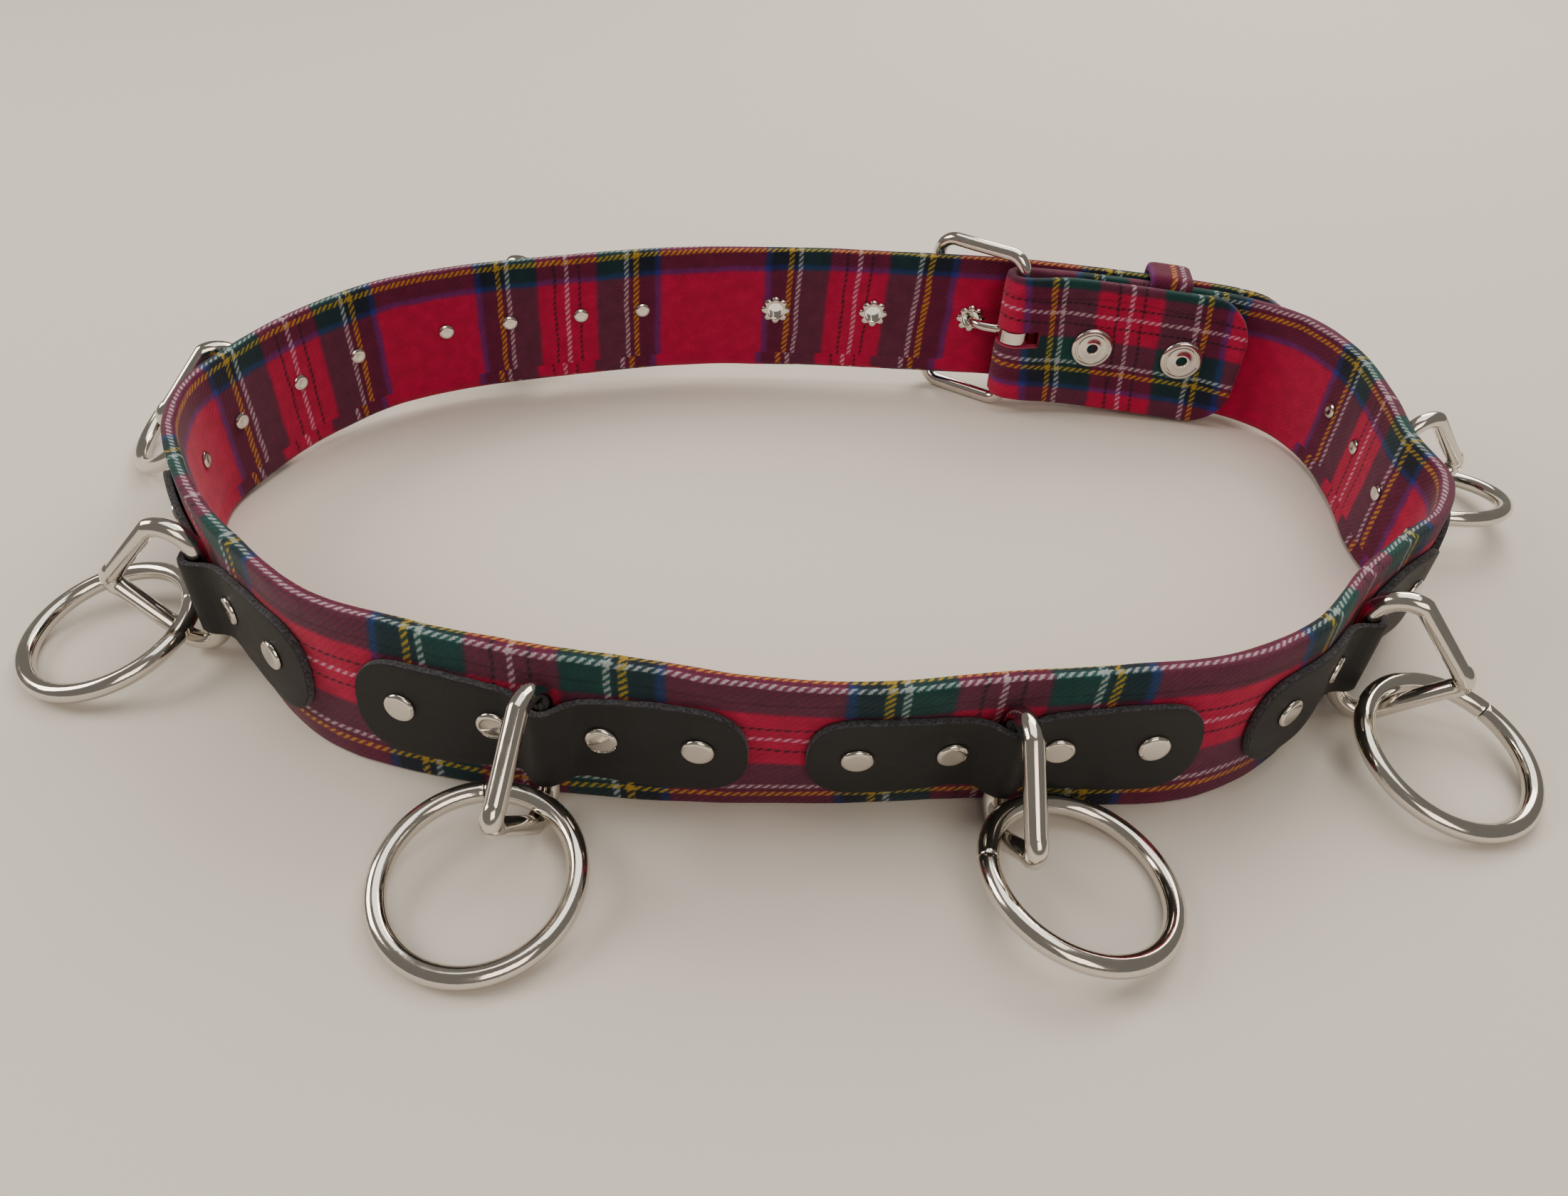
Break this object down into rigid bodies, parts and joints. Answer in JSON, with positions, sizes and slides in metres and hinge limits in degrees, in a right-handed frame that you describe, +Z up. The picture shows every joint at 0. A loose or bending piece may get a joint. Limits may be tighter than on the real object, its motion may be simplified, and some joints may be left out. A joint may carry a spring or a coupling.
{
  "type": "tartan o-ring belt",
  "caption": "Fastened tartan belt lying on its edge, with black leather tabs, D-rings and O-rings round it and a wire buckle.",
  "frame": {"origin": "on the surface below the middle of the box of the whole belt", "axes": "+Z up from the surface, the buckle towards +Y, +X to the right seen from the front"},
  "size_m": [0.449, 0.2866, 0.0595],
  "materials": {
    "tartan": "brushed twill tartan, mostly red with green, navy, yellow and white lines",
    "leather": "matte black smooth leather with raw cut edges",
    "nickel": "bright nickel plate over steel"
  },
  "bodies": {
    "belt": {"strap": "tartan", "leather_tab_1": "leather", "rivet_1_1": "nickel", "rivet_1_2": "nickel", "rivet_1_3": "nickel", "rivet_1_4": "nickel", "leather_tab_2": "leather", "rivet_2_1": "nickel", "rivet_2_2": "nickel", "rivet_2_3": "nickel", "rivet_2_4": "nickel", "leather_tab_3": "leather", "rivet_3_1": "nickel", "rivet_3_2": "nickel", "rivet_3_3": "nickel", "rivet_3_4": "nickel", "leather_tab_4": "leather", "rivet_4_1": "nickel", "rivet_4_2": "nickel", "rivet_4_3": "nickel", "rivet_4_4": "nickel", "leather_tab_5": "leather", "rivet_5_1": "nickel", "rivet_5_2": "nickel", "rivet_5_3": "nickel", "rivet_5_4": "nickel", "leather_tab_6": "leather", "rivet_6_1": "nickel", "rivet_6_2": "nickel", "rivet_6_3": "nickel", "rivet_6_4": "nickel", "leather_tab_7": "leather", "rivet_7_1": "nickel", "rivet_7_2": "nickel", "rivet_7_3": "nickel", "rivet_7_4": "nickel", "buckle_frame": "nickel", "buckle_prong": "nickel", "flap_rivet_1": "nickel", "flap_rivet_2": "nickel", "eyelet_1": "nickel", "eyelet_2": "nickel", "eyelet_3": "nickel", "eyelet_4": "nickel", "eyelet_5": "nickel", "keeper": "tartan"},
    "ring_1": {"d_ring_1": "nickel", "o_ring_1": "nickel"},
    "ring_2": {"d_ring_2": "nickel", "o_ring_2": "nickel"},
    "ring_3": {"d_ring_3": "nickel", "o_ring_3": "nickel"},
    "ring_4": {"d_ring_4": "nickel", "o_ring_4": "nickel"},
    "ring_5": {"d_ring_5": "nickel", "o_ring_5": "nickel"},
    "ring_6": {"d_ring_6": "nickel", "o_ring_6": "nickel"},
    "ring_7": {"d_ring_7": "nickel", "o_ring_7": "nickel"}
  },
  "joints": [
    {"name": "d_ring_1_swing", "type": "hinge", "parent": "belt", "child": "ring_1", "pos_m": [0.17577, 0.03336, 0.02259], "axis": [0, 0, 1], "range_deg": [-4, 10]},
    {"name": "d_ring_2_swing", "type": "hinge", "parent": "belt", "child": "ring_2", "pos_m": [0.13574, -0.04868, 0.02225], "axis": [-0.0001, 0.0001, 1], "range_deg": [-11, 33]},
    {"name": "d_ring_3_swing", "type": "hinge", "parent": "belt", "child": "ring_3", "pos_m": [0.04212, -0.09059, 0.02185], "axis": [0.0132, -0.0808, 0.9966], "range_deg": [-7, 4]},
    {"name": "d_ring_4_swing", "type": "hinge", "parent": "belt", "child": "ring_4", "pos_m": [-0.06103, -0.09321, 0.02243], "axis": [0.0047, 0.0362, 0.9993], "range_deg": [-16, 27]},
    {"name": "d_ring_5_swing", "type": "hinge", "parent": "belt", "child": "ring_5", "pos_m": [-0.15559, -0.04909, 0.02231], "axis": [0.0082, 0.0081, 0.9999], "range_deg": [-2, 9]},
    {"name": "d_ring_6_swing", "type": "hinge", "parent": "belt", "child": "ring_6", "pos_m": [-0.17932, 0.04042, 0.02408], "axis": [0, 0, 1], "range_deg": [-6, 6]},
    {"name": "d_ring_7_swing", "type": "hinge", "parent": "belt", "child": "ring_7", "pos_m": [-0.09965, 0.09977, 0.0269], "axis": [0, 0, 1], "range_deg": [-4, 11]}
  ]
}
